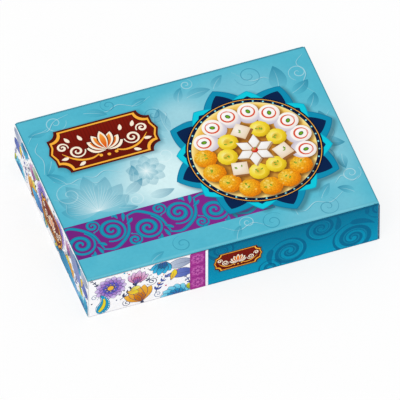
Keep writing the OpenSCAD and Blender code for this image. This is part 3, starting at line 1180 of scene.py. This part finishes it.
def draw_strip(art, zone):
    """The magenta strip: three rosettes one above another, with thin lines between them."""
    (left, low), (right_end, high) = zone.min(0), zone.max(0)
    art.ink(zone, along((left, low), (right_end, low), magenta, magenta_right))
    middle, step = (left + right_end) / 2, (high - low) / 3
    for k in range(3):
        y = low + step * (k + 0.5)
        for turn in range(8):
            art.ink(leaf(middle, y, 6.3, 3.6, turn * 45, 0, 0.6), magenta_light, 0.75, within=zone)
            art.ink(leaf(middle, y, 4.2, 1.8, turn * 45, 0, 0.6), magenta_deep, 0.7, within=zone)
        art.ink(disc(middle, y, 1.5, 12), magenta_light)
        if k:
            art.ink(bar(left, low + step * k - 0.35, right_end, low + step * k + 0.35), magenta_deep, 0.8)
    for x in (left + 0.7, right_end - 0.7):
        art.ink(bar(x - 0.3, low, x + 0.3, high), magenta_deep, 0.7)


def draw_long_wall(art, side):
    """The print of the front wall or, if side is -1, its mirror image for the back wall."""

    def zone(start, end, high=art.high[1]):
        """The part of the wall between two places along it."""
        left, right_end = sorted((side * start, side * end))
        return bar(left, art.low[1], right_end, high)

    florals = zone(-half_wall, florals_end)
    art.ink(florals, print_white)
    lay_group(art, side * (-half_wall - 1), side, florals)
    # A fine grey line of painted shade along the foot of the florals
    art.ink(zone(-half_wall, florals_end, art.low[1] + foot_shade_mm), foot_shade_grey, 0.6)
    draw_strip(art, zone(florals_end, strip_end))
    art.ink(zone(strip_end, line_end), print_white)
    draw_blue(art, zone(line_end, half_wall), [
        (x * side, y, radius, turns, angle if side > 0 else 180 - angle, hand * side)
        for x, y, radius, turns, angle, hand in long_wall_spirals
    ])


front = Artwork((-half_wall, wall_foot), (half_wall, front_high.z / MM - edge_mm))
draw_long_wall(front, 1)
draw_plaque(front, 3.5, 24.5, 43, 21.5)
wall_litho = print_material("wall_litho_print", wall_zones)
front.press("front_print", (0, front_low.y, 0), (1, 0, 0), (0, 0, 1), wall_litho, "tray")


# Print of the back wall
# The front wall's print mirrored, without its plaque, so that the florals meet those of the left wall.
# It ends below the crease that carries the lid.
back_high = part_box("back_wall")[1]
behind = Artwork((-half_wall, wall_foot), (half_wall, back_high.z / MM - 2 * crease_mm))
draw_long_wall(behind, -1)
behind.press("back_print", (0, back_high.y, 0), (-1, 0, 0), (0, 0, 1), wall_litho, "tray")


# Prints of the side walls
# The left wall has florals on white, with broad leaves over them and a small plaque in its middle. The right
# wall carries on the blue of the front wall.
side_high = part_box("right_outer_wall")[1]
half_side = side_high.y / MM - edge_mm
side_sheet = ((-half_side, wall_foot), (half_side, side_high.z / MM - edge_mm))
left_wall = Artwork(*side_sheet)
left_wall.ink(left_wall.sheet, print_white)
lay_group(left_wall, -2, -1, left_wall.sheet)
lay_group(left_wall, 2, 1, left_wall.sheet)
petal(left_wall, 14, 8, 40, 17, 0, sea_deep, "#4fa9d8", 10, 0.5)
petal(left_wall, 40, 6, 30, 12, 352, sea, "#8fb6e6", 8, 0.5)
petal(left_wall, 46, 41, 36, 17, 322, grey_blue, "#7f8fd0", 10, 0.5)
petal(left_wall, 70, 21, 12, 6.5, 312, leaf_green, lemon, 12)
petal(left_wall, 94, 2, 20, 9, 128, sea_deep, sky, 0, 0.5)
petal(left_wall, -18, 12, 30, 13, 186, leaf_blue, sky, -12, 0.5)
petal(left_wall, -28, 42, 20, 9, 200, leaf_green, "#c9d1de", -14)
# A fine grey line of painted shade along the foot of the wall
left_wall.ink(bar(-half_side, wall_foot, half_side, wall_foot + foot_shade_mm), foot_shade_grey, 0.6)
draw_plaque(left_wall, 2.5, 22, 52, 27)
left_wall.press("left_print", (-side_high.x, 0, 0), (0, -1, 0), (0, 0, 1), wall_litho, "tray")

right_wall = Artwork(*side_sheet)
draw_blue(right_wall, right_wall.sheet, [
    (-78, 30, 15, 2.0, 20, 1),
    (-48, 12, 17, 2.2, 140, -1),
    (-14, 32, 14, 2.0, 300, -1),
    (16, 10, 16, 2.1, 60, 1),
    (46, 34, 15, 2.0, 220, 1),
    (76, 12, 17, 2.2, 110, -1),
])
right_wall.press("right_print", (side_high.x, 0, 0), (0, 1, 0), (0, 0, 1), wall_litho, "tray")


# Floor and light
# A white studio floor and even soft light, with a broad lamp from the front left to give the faces a little
# shape. The floor lies a hair below the box, so that the two surfaces don't flicker where they meet.
floor_gap, floor_reach = 0.3 * MM, 6
# Share of plain white in what the camera sees of the floor. The rest keeps the box's shadow
share_white = 0.8
# Strength of the world's light on the object, and of the white that the camera sees behind it
light_level, white_level = 0.78, 1.0


def seen_directly(tree):
    """1 for rays that come from the camera, straight or by way of gloss or glass, and 0 for the rest."""
    ray = add_node(tree, "LightPath").outputs
    seen = ray["Is Camera Ray"]
    for other in ("Is Glossy Ray", "Is Transmission Ray"):
        seen = add_node(tree, "Math", {0: seen, 1: ray[other]}, operation="MAXIMUM").outputs[0]
    return seen


floor = add_object("floor", bpy.data.meshes.new("floor"))
floor_bm = bmesh.new()
bmesh.ops.create_grid(floor_bm, x_segments=1, y_segments=1, size=floor_reach)
bmesh.ops.translate(floor_bm, verts=floor_bm.verts, vec=(0, 0, -floor_gap))
floor_bm.to_mesh(floor.data)
floor_bm.free()
floor_material = bpy.data.materials.new("studio_floor")
tree = empty_tree(floor_material)
share = add_node(tree, "Math", {0: seen_directly(tree), 1: share_white}, operation="MULTIPLY").outputs[0]
matt = add_node(tree, "BsdfDiffuse", {"Color": "#ffffff"}).outputs[0]
white = add_node(tree, "Emission", {"Color": "#ffffff", "Strength": white_level}).outputs[0]
both = add_node(tree, "MixShader", {0: share, 1: matt, 2: white}).outputs[0]
add_node(tree, "OutputMaterial", {"Surface": both})
floor.data.materials.append(floor_material)

world = bpy.data.worlds.new("studio")
bpy.context.scene.world = world
tree = empty_tree(world)
levels = {"Value": seen_directly(tree), "To Min": light_level, "To Max": white_level}
level = add_node(tree, "MapRange", levels).outputs[0]
studio = add_node(tree, "Background", {"Color": "#ffffff", "Strength": level}).outputs[0]
add_node(tree, "OutputWorld", {"Surface": studio})

lamp = add_object("key_lamp", bpy.data.lights.new("key_lamp", "SUN"))
lamp.data.energy = 0.75
lamp.data.angle = math.radians(30)
look_along(lamp, Vector((0.45, 0.65, -1)))

bpy.context.scene.view_settings.view_transform = "Standard"
